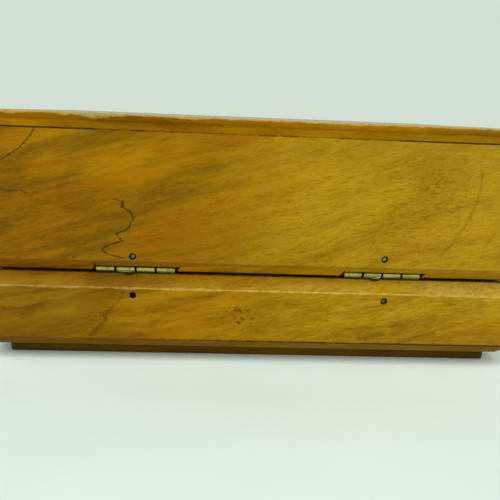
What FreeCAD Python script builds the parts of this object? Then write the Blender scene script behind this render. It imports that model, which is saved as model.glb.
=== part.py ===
import FreeCAD, Part
import os
import Sketcher

# A hinged wooden puzzle box: a shallow base, a deep lid on two brass hinges,
# and a hidden lock whose keyhole and key lie behind sliding strips.
# Millimetres, +Z up. The origin is under the middle of the box, on the table.
# The front faces -Y, the hinges are at the back, at +Y.

DRIVING_SIZES = {
    # the box
    "box_length": 174.0,
    "box_depth": 116.0,
    "box_height": 78.9,
    "wall": 10.0,
    "bottom_thickness": 4.0,
    "bottom_inset": 6.0,
    "rail_height": 25.0,
    "rail_foot_chamfer": 3.5,
    "rail_top_chamfer": 4.2,
    "lid_gap": 0.4,
    "lid_chamfer": 4.4,
    "top_thickness": 4.7,
    "top_step_rise": 2.4,
    "top_step_inset": 0.4,
    "ridge_round": 0.7,
    "board_round": 1.0,
    "corner_break": 0.8,
    # the hinges
    "hinge_spacing": 80.5,
    "hinge_shift": 1.5,
    "hinge_length": 25.0,
    "hinge_axis_rise": 1.3,
    "hinge_axis_depth": 3.8,
    "knuckle_radius": 1.0,
    "knuckle_gap": 0.8,
    "hinge_pin_radius": 0.45,
    "hinge_pin_play": 0.05,
    "leaf_reach": 9.6,
    "leaf_thickness": 0.8,
    "leaf_tuck": 0.05,
    "kerf_play": 0.1,
    "recess_play": 0.25,
    "recess_end_play": 0.6,
    "recess_slant": 1.2,
    "saw_overrun": 0.9,
    "saw_cut": 0.4,
    "gouge_radius": 4.0,
    "gouge_drop": 0.9,
    "gouge_shift": 2.2,
    # the hinge nails
    "nail_rise": 6.5,
    "nail_stray": 0.5,
    "lid_nail_tilt": 0.65,
    "nail_shank_radius": 0.7,
    "nail_head_radius": 0.8,
    "nail_head_thickness": 0.6,
    "nail_length": 8.0,
    "nail_set": 0.4,
    "sunk_nail_set": 1.8,
    "nail_hole_play": 0.25,
    "nail_play": 0.05,
    # the sliding strips
    "strip_face_height": 9.0,
    "strip_flare": 0.9,
    "strip_thickness": 3.0,
    "strip_play": 0.15,
    "front_groove_start": 70.0,
    "front_joint": 10.0,
    "keyhole_slide_travel": 30.0,
    "key_groove_end": 40.0,
    "key_slide_travel": 36.0,
    "peg_radius": 1.0,
    "peg_play": 0.1,
    "peg_reach": 1.4,
    "stop_slot_depth": 1.7,
    "front_peg_place": 50.0,
    "side_peg_place": 20.0,
    # the lock
    "case_width": 24.0,
    "case_height": 18.0,
    "case_thickness": 4.2,
    "case_sheet": 0.8,
    "case_play": 0.1,
    "cover_width": 34.0,
    "cover_thickness": 0.8,
    "bolt_width": 10.0,
    "bolt_thickness": 2.4,
    "bolt_height": 12.0,
    "bolt_drop": 0.1,
    "bolt_play": 0.2,
    "bolt_travel": 3.5,
    "talon_width": 4.0,
    "talon_height": 1.8,
    "stud_radius": 1.0,
    "stud_drop": 4.0,
    "keyhole_radius": 1.5,
    "keyhole_slot_width": 1.5,
    "keyhole_slot_drop": 3.0,
    "keyhole_drop": 14.4,
    "spring_sheet": 0.4,
    "spring_belly": 4.0,
    "screw_shank_radius": 0.7,
    "screw_head_radius": 1.4,
    "screw_head_thickness": 0.6,
    "screw_length": 5.0,
    "screw_inset": 2.4,
    "screw_edge": 4.0,
    # the strike in the lid
    "strike_length": 22.0,
    "strike_width": 5.0,
    "strike_thickness": 0.8,
    "strike_pin_radius": 0.6,
    "strike_pin_length": 5.0,
    "strike_pin_inset": 2.5,
    "bolt_pocket_spare": 1.5,
    # the key and its pocket
    "pocket_depth": 4.0,
    "pocket_height": 9.8,
    "pocket_length": 29.0,
    "pocket_end": 38.0,
    "bow_ring_radius": 3.6,
    "bow_wire_radius": 0.9,
    "key_shank_radius": 1.1,
    "key_shank_length": 17.0,
    "key_bit_width": 3.6,
    "key_fit": 0.2,
    "key_play": 0.1,
}

KNUCKLES = 4  # knuckles on one hinge, shared in turn by its two leaves
CUT_MARGIN = 2.0  # how far a cut runs past the face it opens

doc = FreeCAD.newDocument("PuzzleBox")


class Size:
    # A length that knows its number and its formula in the sheet.

    def __init__(self, value, formula):
        self.value = value
        self.formula = formula

    def __add__(self, other):
        return Size(self.value + number(other), f"({self.formula} + {formula(other)})")

    def __radd__(self, other):
        return Size(number(other) + self.value, f"({formula(other)} + {self.formula})")

    def __sub__(self, other):
        return Size(self.value - number(other), f"({self.formula} - {formula(other)})")

    def __rsub__(self, other):
        return Size(number(other) - self.value, f"({formula(other)} - {self.formula})")

    def __mul__(self, other):
        return Size(self.value * number(other), f"({self.formula} * {formula(other)})")

    def __rmul__(self, other):
        return self * other

    def __truediv__(self, other):
        return Size(self.value / number(other), f"({self.formula} / {formula(other)})")

    def __neg__(self):
        return self * -1


def number(length):
    return length.value if isinstance(length, Size) else float(length)


def formula(length):
    return length.formula if isinstance(length, Size) else repr(float(length))


class Sheet:
    # The spreadsheet of driving sizes; each size is read as an attribute.

    def __init__(self, name, sizes):
        self.cells = doc.addObject("Spreadsheet::Sheet", name)
        self.sizes = {}
        for row, (alias, value) in enumerate(sizes.items(), start=1):
            self.cells.set(f"A{row}", alias)
            self.cells.set(f"B{row}", str(value))
            self.cells.setAlias(f"B{row}", alias)
            self.sizes[alias] = Size(value, f"{name}.{alias}")
        doc.recompute()

    def __getattr__(self, alias):
        return self.sizes[alias]


S = Sheet("Sizes", DRIVING_SIZES)

# Levels and planes that several pieces share.
half_length = S.box_length / 2
half_depth = S.box_depth / 2
rail_foot = S.bottom_thickness
rail_top = rail_foot + S.rail_height
lid_foot = rail_top + S.lid_gap
lid_top = S.box_height - S.top_thickness
axis_z = rail_top + S.hinge_axis_rise
axis_y = half_depth - S.hinge_axis_depth
leaf_back = S.hinge_axis_depth + S.knuckle_radius - S.leaf_tuck
leaf_front = leaf_back - S.leaf_thickness
leaf_y = half_depth - (leaf_back + leaf_front) / 2
knuckle_clear = S.knuckle_radius + S.recess_play
knuckle_pitch = (S.hinge_length + S.knuckle_gap) / KNUCKLES
nail_hole_radius = S.nail_head_radius + S.nail_hole_play
strip_z = (rail_foot + S.rail_foot_chamfer + rail_top - S.rail_top_chamfer) / 2
groove_floor = S.strip_thickness + S.strip_play
peg_hole_radius = S.peg_radius + S.nail_play
cover_front = S.wall - S.cover_thickness
case_front = cover_front - S.case_thickness
bolt_middle = case_front + S.case_sheet + (S.case_thickness - S.case_sheet) / 2
keyhole_z = rail_top - S.keyhole_drop
stud_z = rail_top - S.case_sheet - S.stud_drop
bolt_top = rail_top - S.bolt_drop
bolt_foot = bolt_top - S.bolt_height
screw_x = S.cover_width / 2 - S.screw_inset
screw_levels = (rail_top - S.screw_edge, rail_top - S.case_height + S.screw_edge)
screw_hole_radius = S.screw_shank_radius + S.nail_play
strike_pin_x = S.strike_length / 2 - S.strike_pin_inset
pocket_floor = strip_z - S.pocket_height / 2
key_x = -half_length + groove_floor + S.pocket_depth / 2
bow_radius = S.bow_ring_radius + S.bow_wire_radius
key_z = pocket_floor + S.key_play + bow_radius
bow_y = S.pocket_end - S.key_play - bow_radius

PLANES = {"X": ("YZ_Plane", 1), "Y": ("XZ_Plane", -1), "Z": ("XY_Plane", 1)}


# Sketches and features

def new_body(label):
    body = doc.addObject("PartDesign::Body", label)
    body.Label = label
    return body


def sketch_at(body, axis, place):
    # A sketch square to an axis: X draws in (Y, Z), Y in (X, Z), Z in (X, Y).
    role, sign = PLANES[axis]
    plane = next(p for p in body.Origin.OriginFeatures if p.Role == role)
    sketch = body.newObject("Sketcher::SketchObject", "Sketch")
    sketch.AttachmentSupport = [(plane, "")]
    sketch.MapMode = "FlatFace"
    sketch.setExpression("AttachmentOffset.Base.z", formula(place * sign))
    return sketch


def bind(sketch, constraint, length):
    index = sketch.addConstraint(constraint)
    sketch.setExpression(f"Constraints[{index}]", formula(length))


def pin_point(sketch, geometry, point, x, y):
    for direction, length in (("DistanceX", x), ("DistanceY", y)):
        constraint = Sketcher.Constraint(direction, -1, 1, geometry, point, number(length))
        bind(sketch, constraint, length)


def outline(sketch, corners):
    # A closed outline of straight edges, each corner held by two sizes.
    first = sketch.GeometryCount
    count = len(corners)
    points = [FreeCAD.Vector(number(x), number(y), 0) for x, y in corners]
    for i in range(count):
        sketch.addGeometry(Part.LineSegment(points[i], points[(i + 1) % count]))
    for i in range(count):
        joint = Sketcher.Constraint("Coincident", first + i, 2, first + (i + 1) % count, 1)
        sketch.addConstraint(joint)
    for i, (x, y) in enumerate(corners):
        pin_point(sketch, first + i, 1, x, y)


def rectangle(sketch, x0, x1, y0, y1):
    outline(sketch, [(x0, y0), (x1, y0), (x1, y1), (x0, y1)])


def circle(sketch, x, y, radius):
    centre = FreeCAD.Vector(number(x), number(y), 0)
    round_edge = Part.Circle(centre, FreeCAD.Vector(0, 0, 1), number(radius))
    index = sketch.addGeometry(round_edge)
    pin_point(sketch, index, 3, x, y)
    bind(sketch, Sketcher.Constraint("Radius", index, number(radius)), radius)


def feature(body, kind, sketch, length):
    # A pad or pocket that runs half its length to each side of its sketch.
    made = body.newObject(f"PartDesign::{kind}", kind)
    made.Profile = (sketch, [""])
    made.SideType = "Symmetric"
    made.setExpression("Length", formula(length))
    return made


def pad(body, sketch, length):
    return feature(body, "Pad", sketch, length)


def pocket(body, sketch, length):
    # The cut has to take material away, or it was aimed past the solid.
    doc.recompute()
    before = body.Shape.Volume
    made = feature(body, "Pocket", sketch, length)
    doc.recompute()
    if body.Shape.Volume >= before:
        raise ValueError(f"a pocket in {body.Label} cuts nothing")
    return made


def fillet(body, base, radius, wanted):
    # Rounds the edges of the base feature that the wanted() test picks.
    doc.recompute()
    names = [f"Edge{i}" for i, edge in enumerate(base.Shape.Edges, start=1) if wanted(edge)]
    if not names:
        raise ValueError(f"no edge to round on {body.Label}")
    made = body.newObject("PartDesign::Fillet", "Fillet")
    made.Base = (base, names)
    made.setExpression("Radius", formula(radius))
    return made


def runs_along(edge, axis):
    start, end = (vertex.Point for vertex in edge.Vertexes)
    return abs((end - start).normalize().dot(axis)) > 0.999


def at_place(edge, **places):
    middle = edge.CenterOfMass
    return all(abs(getattr(middle, axis) - number(place)) < 1e-4 for axis, place in places.items())


# Solids made from primitives

def place_at(made, *place):
    for axis, length in zip("xyz", place):
        made.setExpression(f"Placement.Base.{axis}", formula(length))


def cylinder(radius, height, place, turn):
    # A cylinder from its base's centre, turned from +Z by an axis and an angle.
    made = doc.addObject("Part::Cylinder", "Rod")
    made.setExpression("Radius", formula(radius))
    made.setExpression("Height", formula(height))
    made.Placement = FreeCAD.Placement(FreeCAD.Vector(), FreeCAD.Rotation(*turn))
    place_at(made, *place)
    return made


TURN_TO_X = (FreeCAD.Vector(0, 1, 0), 90)
TURN_TO_Y = (FreeCAD.Vector(1, 0, 0), -90)
TURN_TO_MINUS_Y = (FreeCAD.Vector(1, 0, 0), 90)
TURN_TO_Z = (FreeCAD.Vector(0, 0, 1), 0)


def fuse(pieces):
    made = doc.addObject("Part::MultiFuse", "Fusion")
    made.Shapes = pieces
    return made


def group(label, pieces):
    made = doc.addObject("Part::Compound", label)
    made.Label = label
    made.Links = pieces
    return made


# Mitred boards of the base and the lid

# Each side: whether it runs along X, and the sign of its place across the box.
SIDES = {"back": (True, 1), "front": (True, -1), "left": (False, -1), "right": (False, 1)}


def side_point(side, depth, height):
    # A point of a side's cross-section: depth from its outer face, then height.
    along_x, sign = SIDES[side]
    half = half_depth if along_x else half_length
    return (half - depth) * sign, height


def mitred_board(label, side, profile, rounded):
    # A cross-section carried along one side of the box, cut at 45 degrees at both ends.
    along_x = SIDES[side][0]
    body = new_body(label)
    section = sketch_at(body, "X" if along_x else "Y", 0)
    outline(section, [side_point(side, depth, height) for depth, height in profile])
    board = pad(body, section, S.box_length if along_x else S.box_depth)
    axis = FreeCAD.Vector(1, 0, 0) if along_x else FreeCAD.Vector(0, 1, 0)
    across = "y" if along_x else "x"
    places = [side_point(side, depth, height) for depth, height in rounded]

    def is_ridge(edge):
        on_ridge = any(at_place(edge, **{across: a, "z": z}) for a, z in places)
        return on_ridge and runs_along(edge, axis)

    fillet(body, board, S.ridge_round, is_ridge)
    cut_ends(body, side, profile)
    return body


def cut_ends(body, side, profile):
    # Mitres both ends and breaks the sharp corner that the mitre leaves.
    along_x, sign = SIDES[side]
    low = profile[0][1]
    mitre = sketch_at(body, "Z", low)
    broken = sketch_at(body, "Z", low)
    for end in (-1, 1):
        out_x = half_length * (end if along_x else sign)
        out_y = half_depth * (sign if along_x else end)
        way_x = end if along_x else sign
        way_y = sign if along_x else end

        def corner(x_in, y_in):
            return out_x - x_in * way_x, out_y - y_in * way_y

        past = -CUT_MARGIN
        within = S.wall + CUT_MARGIN
        tip = (within, past) if not along_x else (past, within)
        outline(mitre, [corner(past, past), corner(within, within), corner(*tip)])
        outline(broken, [corner(S.corner_break + CUT_MARGIN, past), corner(past, past),
                         corner(past, S.corner_break + CUT_MARGIN)])
    pocket(body, mitre, 2 * S.box_height)
    pocket(body, broken, 2 * S.box_height)


rail_profile = [
    (S.rail_foot_chamfer, rail_foot),
    (0, rail_foot + S.rail_foot_chamfer),
    (0, rail_top - S.rail_top_chamfer),
    (S.rail_top_chamfer, rail_top),
    (S.wall, rail_top),
    (S.wall, rail_foot),
]
rail_ridges = rail_profile[1:3]
lid_profile = [
    (S.lid_chamfer, lid_foot),
    (0, lid_foot + S.lid_chamfer),
    (0, lid_top),
    (S.wall, lid_top),
    (S.wall, lid_foot),
]
lid_ridges = lid_profile[1:2]


def depth_y(side, depth):
    return side_point(side, depth, 0)[0]


def hinge_x(sign):
    # The pair of hinges sits a little off the middle of the box.
    return S.hinge_spacing / 2 * sign - S.hinge_shift


def cut_kerfs(body, level):
    # Saw kerfs that take the hinge leaves, open at the board's rim.
    kerf = sketch_at(body, "Z", level)
    for sign in (-1, 1):
        middle = hinge_x(sign)
        half = S.hinge_length / 2 + S.kerf_play
        rectangle(kerf, middle - half, middle + half,
                  half_depth - leaf_back - S.kerf_play, half_depth - leaf_front + S.kerf_play)
    pocket(body, kerf, 2 * (S.leaf_reach + S.hinge_axis_rise + S.kerf_play))


def nail_place(sign, up):
    # How far a nail misses its hinge's middle, and its height. They were driven by eye: the lid's two
    # miss the same way and differ in height, the base's two miss each their own way.
    if up > 0:
        return S.nail_stray, lid_foot + S.nail_rise - S.lid_nail_tilt * sign
    return S.nail_stray * sign, rail_top - S.nail_rise


def cut_nail_holes(body, up):
    holes = sketch_at(body, "Y", half_depth)
    for sign in (-1, 1):
        stray, level = nail_place(sign, up)
        circle(holes, hinge_x(sign) + stray, level, nail_hole_radius)
    pocket(body, holes, 2 * (S.nail_length + S.sunk_nail_set))


def base_back_rail():
    body = mitred_board("base_back_rail", "back", rail_profile, rail_ridges)
    cut_kerfs(body, rail_top)
    # A chisel slipped under each hinge and left a shallow scoop in the rim.
    scoop = sketch_at(body, "Y", half_depth)
    for sign in (-1, 1):
        circle(scoop, hinge_x(sign) + S.gouge_shift,
               rail_top - S.gouge_drop + S.gouge_radius, S.gouge_radius)
    pocket(body, scoop, 2 * (S.hinge_axis_depth + knuckle_clear))
    cut_nail_holes(body, -1)


def lid_back_wall():
    body = mitred_board("lid_back_wall", "back", lid_profile, lid_ridges)
    cut_kerfs(body, lid_foot)
    # Hand-cut recess for the knuckles: both ends are sawn at the same slant, a little too far.
    recess = sketch_at(body, "Y", half_depth)
    foot = lid_foot - S.lid_gap
    head = axis_z + knuckle_clear
    for sign in (-1, 1):
        middle = hinge_x(sign)
        half = S.hinge_length / 2 + S.recess_end_play
        lean = S.recess_slant * S.saw_overrun / (head - foot)
        far_end = middle - half - S.recess_slant
        outline(recess, [(middle - half, foot), (middle + half + S.recess_slant, foot),
                         (middle + half - lean, head + S.saw_overrun), (middle + half - S.saw_cut, head),
                         (far_end + S.saw_cut, head), (far_end - lean, head + S.saw_overrun)])
    pocket(body, recess, 2 * (S.hinge_axis_depth + knuckle_clear))
    cut_nail_holes(body, 1)


# The sliding strips and their dovetail grooves

def dovetail(side, play, face_margin):
    # Cross-section of a strip (play below 0) or of its groove (play above 0).
    half_face = S.strip_face_height / 2 + play
    half_root = half_face + S.strip_flare
    root = S.strip_thickness + play
    corners = [(0, half_face), (root, half_root), (root, -half_root), (0, -half_face)]
    if face_margin:
        corners += [(-face_margin, -half_face), (-face_margin, half_face)]
    return [side_point(side, depth, strip_z + height) for depth, height in corners]


def cut_front_groove(body):
    end = half_length + CUT_MARGIN
    groove = sketch_at(body, "X", (end - S.front_groove_start) / 2)
    outline(groove, dovetail("front", S.strip_play, CUT_MARGIN))
    pocket(body, groove, end + S.front_groove_start)


def cut_key_groove(body):
    end = half_depth + CUT_MARGIN
    groove = sketch_at(body, "Y", (S.key_groove_end - end) / 2)
    outline(groove, dovetail("left", S.strip_play, CUT_MARGIN))
    pocket(body, groove, end + S.key_groove_end)


def strip(label, side, start, end):
    body = new_body(label)
    section = sketch_at(body, "X" if SIDES[side][0] else "Y", (start + end) / 2)
    outline(section, dovetail(side, 0, 0))
    pad(body, section, end - start)
    return body


def stop_slot(body, axis, place, rectangle_sides):
    slot = sketch_at(body, axis, place)
    rectangle(slot, *rectangle_sides)
    pocket(body, slot, 2 * S.stop_slot_depth)


def keyhole_slide():
    start = S.strip_play - S.front_joint
    body = strip("keyhole_slide", "front", start, half_length)
    half_slot = S.peg_radius + S.peg_play
    stop_slot(body, "Y", depth_y("front", S.strip_thickness),
              (S.front_peg_place - S.keyhole_slide_travel - half_slot, S.front_peg_place + half_slot,
               strip_z - half_slot, strip_z + half_slot))


def front_fixed_strip():
    strip("front_fixed_strip", "front", -S.front_groove_start, -S.front_joint)


def key_slide():
    body = strip("key_slide", "left", -half_depth, S.key_groove_end - S.strip_play)
    half_slot = S.peg_radius + S.peg_play
    stop_slot(body, "X", depth_y("left", S.strip_thickness),
              (-S.side_peg_place - half_slot, S.key_slide_travel - S.side_peg_place + half_slot,
               strip_z - half_slot, strip_z + half_slot))


def slide_stop_pegs():
    # Dowels pushed in from inside; their tips run in the strips' stop slots.
    length = S.wall - S.strip_thickness + S.peg_reach
    front = cylinder(S.peg_radius, length, (S.front_peg_place, depth_y("front", S.wall), strip_z),
                     TURN_TO_MINUS_Y)
    side = cylinder(S.peg_radius, length,
                    (-half_length + S.strip_thickness - S.peg_reach, -S.side_peg_place, strip_z), TURN_TO_X)
    group("slide_stop_pegs", [front, side])


def base_front_rail():
    body = mitred_board("base_front_rail", "front", rail_profile, rail_ridges)
    cut_front_groove(body)
    cut_key_groove(body)
    # Mortise for the lock case and its wider cover, open at the rim.
    for width, front, height in ((S.case_width, case_front, S.case_height),
                                 (S.cover_width, cover_front, S.case_height)):
        mortise = sketch_at(body, "Z", rail_top)
        half = width / 2 + S.case_play
        rectangle(mortise, -half, half, depth_y("front", front), depth_y("front", S.wall + CUT_MARGIN))
        pocket(body, mortise, 2 * (height + S.case_play))
    cut_keyhole(body, depth_y("front", groove_floor), case_front - groove_floor)
    holes = sketch_at(body, "Y", depth_y("front", S.wall))
    for level in screw_levels:
        for sign in (-1, 1):
            circle(holes, screw_x * sign, level, screw_hole_radius)
    pocket(body, holes, 2 * (S.screw_length + S.nail_play))
    peg_hole = sketch_at(body, "Y", depth_y("front", S.wall))
    circle(peg_hole, S.front_peg_place, strip_z, peg_hole_radius)
    pocket(body, peg_hole, 2 * (S.wall - S.strip_thickness))


def cut_keyhole(body, face_y, depth):
    # A round eye with a slot below it, cut through a wall of the given depth.
    eye = sketch_at(body, "Y", face_y)
    circle(eye, 0, keyhole_z, S.keyhole_radius)
    pocket(body, eye, 2 * (depth + S.case_play))
    slot = sketch_at(body, "Y", face_y)
    rectangle(slot, -S.keyhole_slot_width / 2, S.keyhole_slot_width / 2,
              keyhole_z - S.keyhole_slot_drop, keyhole_z)
    pocket(body, slot, 2 * (depth + S.case_play))


def base_left_rail():
    body = mitred_board("base_left_rail", "left", rail_profile, rail_ridges)
    cut_key_groove(body)
    key_pocket = sketch_at(body, "X", depth_y("left", groove_floor))
    rectangle(key_pocket, S.pocket_end - S.pocket_length, S.pocket_end,
              pocket_floor, pocket_floor + S.pocket_height)
    pocket(body, key_pocket, 2 * S.pocket_depth)
    peg_hole = sketch_at(body, "X", depth_y("left", S.wall))
    circle(peg_hole, -S.side_peg_place, strip_z, peg_hole_radius)
    pocket(body, peg_hole, 2 * (S.wall - S.strip_thickness))


def base_right_rail():
    body = mitred_board("base_right_rail", "right", rail_profile, rail_ridges)
    cut_front_groove(body)


def lid_front_wall():
    body = mitred_board("lid_front_wall", "front", lid_profile, lid_ridges)
    seat = sketch_at(body, "Z", lid_foot)
    rectangle(seat, -S.strike_length / 2 - S.case_play, S.strike_length / 2 + S.case_play,
              depth_y("front", bolt_middle - S.strike_width / 2 - S.case_play),
              depth_y("front", bolt_middle + S.strike_width / 2 + S.case_play))
    pocket(body, seat, 2 * S.strike_thickness)
    bolt_pocket = sketch_at(body, "Z", lid_foot)
    bolt_opening(bolt_pocket)
    pocket(body, bolt_pocket, 2 * (S.bolt_travel + S.bolt_pocket_spare))
    holes = sketch_at(body, "Z", lid_foot)
    for sign in (-1, 1):
        circle(holes, strike_pin_x * sign, depth_y("front", bolt_middle), S.strike_pin_radius + S.nail_play)
    pocket(body, holes, 2 * (S.strike_pin_length + S.nail_play))


def bolt_opening(sketch):
    half_width = S.bolt_width / 2 + S.bolt_play
    half_thickness = S.bolt_thickness / 2 + S.bolt_play
    rectangle(sketch, -half_width, half_width, depth_y("front", bolt_middle - half_thickness),
              depth_y("front", bolt_middle + half_thickness))


# Flat boards

def layer(body, half_x, half_y, foot, head):
    plan = sketch_at(body, "Z", (foot + head) / 2)
    rectangle(plan, -half_x, half_x, -half_y, half_y)
    return pad(body, plan, head - foot)


def round_board(body, board, level):
    # Rounds the upright corners and the edges at one level.
    up = FreeCAD.Vector(0, 0, 1)

    def is_worn(edge):
        return runs_along(edge, up) or at_place(edge, z=level)

    fillet(body, board, S.board_round, is_worn)


def bottom_board():
    body = new_body("bottom_board")
    board = layer(body, half_length - S.bottom_inset, half_depth - S.bottom_inset, 0, S.bottom_thickness)
    round_board(body, board, 0)


def top_board():
    # The upper part of the board's edge is set back, which leaves a fine step all round.
    body = new_body("top_board")
    step = lid_top + S.top_step_rise
    layer(body, half_length, half_depth, lid_top, step)
    board = layer(body, half_length - S.top_step_inset, half_depth - S.top_step_inset, step, S.box_height)
    round_board(body, board, S.box_height)


# Hinges

def hinge_leaf(label, sign, up, first_knuckle):
    # A plate that stands in its kerf, with tabs rolled into every second knuckle.
    body = new_body(label)
    body.setExpression("Placement.Base.x", formula(hinge_x(sign)))
    half = S.hinge_length / 2
    plate_edge = axis_z + knuckle_clear * up
    far_edge = axis_z + S.leaf_reach * up
    starts = [knuckle_pitch * i - half for i in range(first_knuckle, KNUCKLES, 2)]
    width = knuckle_pitch - S.knuckle_gap
    corners = [(half, far_edge), (-half, far_edge)]
    if first_knuckle:
        corners.append((-half, plate_edge))
    for start in starts:
        tab = [(start, axis_z), (start + width, axis_z)]
        before = [(start, plate_edge)] if start is not starts[0] or first_knuckle else []
        after = [(start + width, plate_edge)] if start is not starts[-1] or not first_knuckle else []
        corners += before + tab + after
    if not first_knuckle:
        corners.append((half, plate_edge))
    plate = sketch_at(body, "Y", leaf_y)
    outline(plate, corners)
    pad(body, plate, S.leaf_thickness)
    for start in starts:
        roll = sketch_at(body, "X", start + width / 2)
        circle(roll, axis_y, axis_z, S.knuckle_radius)
        pad(body, roll, width)
    bore = sketch_at(body, "X", 0)
    circle(bore, axis_y, axis_z, S.hinge_pin_radius + S.hinge_pin_play)
    pocket(body, bore, S.hinge_length + CUT_MARGIN)
    nail_hole = sketch_at(body, "Y", leaf_y)
    stray, level = nail_place(sign, up)
    circle(nail_hole, stray, level, S.nail_shank_radius + S.nail_play)
    pocket(body, nail_hole, 2 * S.leaf_thickness)


def hinge_pin(label, sign):
    place = (hinge_x(sign) - S.hinge_length / 2, axis_y, axis_z)
    made = cylinder(S.hinge_pin_radius, S.hinge_length, place, TURN_TO_X)
    made.Label = label


def hinges():
    for name, sign in (("left", -1), ("right", 1)):
        hinge_leaf(f"hinge_{name}_lower_leaf", sign, -1, 0)
        hinge_leaf(f"hinge_{name}_upper_leaf", sign, 1, 1)
        hinge_pin(f"hinge_{name}_pin", sign)


def back_nail(x, level, sunk):
    # A headed nail driven in from the back, its head set below the wood.
    face = half_depth - sunk
    head = cylinder(S.nail_head_radius, S.nail_head_thickness, (x, face, level), TURN_TO_MINUS_Y)
    shank = cylinder(S.nail_shank_radius, S.nail_length, (x, face, level), TURN_TO_MINUS_Y)
    return fuse([head, shank])


def hinge_nails():
    for label, up, sets in (("lid_hinge_nails", 1, (S.nail_set, S.nail_set)),
                            ("base_hinge_nails", -1, (S.nail_set, S.sunk_nail_set))):
        nails = []
        for sign, sunk in zip((-1, 1), sets):
            stray, level = nail_place(sign, up)
            nails.append(back_nail(hinge_x(sign) + stray, level, sunk))
        group(label, nails)


# The lock

def lock_case():
    # A folded sheet box, open towards the inside of the box, with a guide stud.
    body = new_body("lock_case")
    half = S.case_width / 2
    foot = rail_top - S.case_height
    shell = sketch_at(body, "Y", depth_y("front", (case_front + cover_front) / 2))
    rectangle(shell, -half, half, foot, rail_top)
    pad(body, shell, S.case_thickness)
    hollow = sketch_at(body, "Y", depth_y("front", cover_front))
    rectangle(hollow, S.case_sheet - half, half - S.case_sheet, foot + S.case_sheet, rail_top - S.case_sheet)
    pocket(body, hollow, 2 * (S.case_thickness - S.case_sheet))
    mouth = sketch_at(body, "Z", rail_top)
    bolt_opening(mouth)
    pocket(body, mouth, 2 * (S.case_sheet + S.bolt_play))
    cut_keyhole(body, depth_y("front", case_front), S.case_sheet)
    stud_length = S.case_thickness - S.bolt_play
    stud = sketch_at(body, "Y", depth_y("front", case_front + stud_length / 2))
    circle(stud, 0, stud_z, S.stud_radius)
    pad(body, stud, stud_length)


def lock_cover():
    body = new_body("lock_cover")
    sheet = sketch_at(body, "Y", depth_y("front", (cover_front + S.wall) / 2))
    half = S.cover_width / 2
    rectangle(sheet, -half, half, rail_top - S.case_height, rail_top)
    pad(body, sheet, S.cover_thickness)
    holes = sketch_at(body, "Y", depth_y("front", S.wall))
    for level in screw_levels:
        for sign in (-1, 1):
            circle(holes, screw_x * sign, level, screw_hole_radius)
    pocket(body, holes, 4 * S.cover_thickness)


def lock_screws():
    screws = []
    for level in screw_levels:
        for sign in (-1, 1):
            face = depth_y("front", S.wall)
            place = (screw_x * sign, face, level)
            head = cylinder(S.screw_head_radius, S.screw_head_thickness, place, TURN_TO_Y)
            shank = cylinder(S.screw_shank_radius, S.screw_length, place, TURN_TO_MINUS_Y)
            screws.append(fuse([head, shank]))
    group("lock_screws", screws)


def lock_bolt():
    # A flat tongue with a slot for the guide stud and a talon for the key.
    body = new_body("lock_bolt")
    middle = depth_y("front", bolt_middle)
    half = S.bolt_width / 2
    tongue = sketch_at(body, "Y", middle)
    rectangle(tongue, -half, half, bolt_foot, bolt_top)
    pad(body, tongue, S.bolt_thickness)
    half_slot = S.stud_radius + S.bolt_play
    slot = sketch_at(body, "Y", middle)
    rectangle(slot, -half_slot, half_slot, stud_z - S.bolt_travel - half_slot, stud_z + half_slot)
    pocket(body, slot, 2 * S.bolt_thickness)
    talon = sketch_at(body, "Y", middle)
    rectangle(talon, -S.talon_width / 2, S.talon_width / 2,
              bolt_foot - CUT_MARGIN, bolt_foot + S.talon_height)
    pocket(body, talon, 2 * S.bolt_thickness)


def lock_spring():
    # A bent leaf between the case wall and the bolt's edge, which rubs on the bolt.
    body = new_body("lock_spring")
    wall_x = S.case_sheet - S.case_width / 2
    bolt_x = -S.bolt_width / 2 - S.bolt_play
    head = rail_top - 2 * S.case_sheet
    foot = rail_top - S.case_height + 2 * S.case_sheet
    belly_head = (head + foot + S.spring_belly) / 2
    belly_foot = (head + foot - S.spring_belly) / 2
    leaf = sketch_at(body, "Y", depth_y("front", bolt_middle))
    outline(leaf, [(wall_x, head), (wall_x + S.spring_sheet, head), (bolt_x, belly_head),
                   (bolt_x, belly_foot), (wall_x + S.spring_sheet, foot), (wall_x, foot),
                   (bolt_x - S.spring_sheet, belly_foot), (bolt_x - S.spring_sheet, belly_head)])
    pad(body, leaf, S.bolt_thickness)


def strike_plate():
    body = new_body("strike_plate")
    level = lid_foot + S.strike_thickness / 2
    plan = sketch_at(body, "Z", level)
    middle = depth_y("front", bolt_middle)
    rectangle(plan, -S.strike_length / 2, S.strike_length / 2,
              middle - S.strike_width / 2, middle + S.strike_width / 2)
    pad(body, plan, S.strike_thickness)
    mouth = sketch_at(body, "Z", level)
    bolt_opening(mouth)
    pocket(body, mouth, 2 * S.strike_thickness)
    holes = sketch_at(body, "Z", level)
    for sign in (-1, 1):
        circle(holes, strike_pin_x * sign, middle, S.strike_pin_radius + S.nail_play)
    pocket(body, holes, 2 * S.strike_thickness)


def strike_pins():
    middle = depth_y("front", bolt_middle)
    places = [(strike_pin_x * sign, middle, lid_foot) for sign in (-1, 1)]
    pins = [cylinder(S.strike_pin_radius, S.strike_pin_length, place, TURN_TO_Z) for place in places]
    group("strike_pins", pins)


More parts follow.
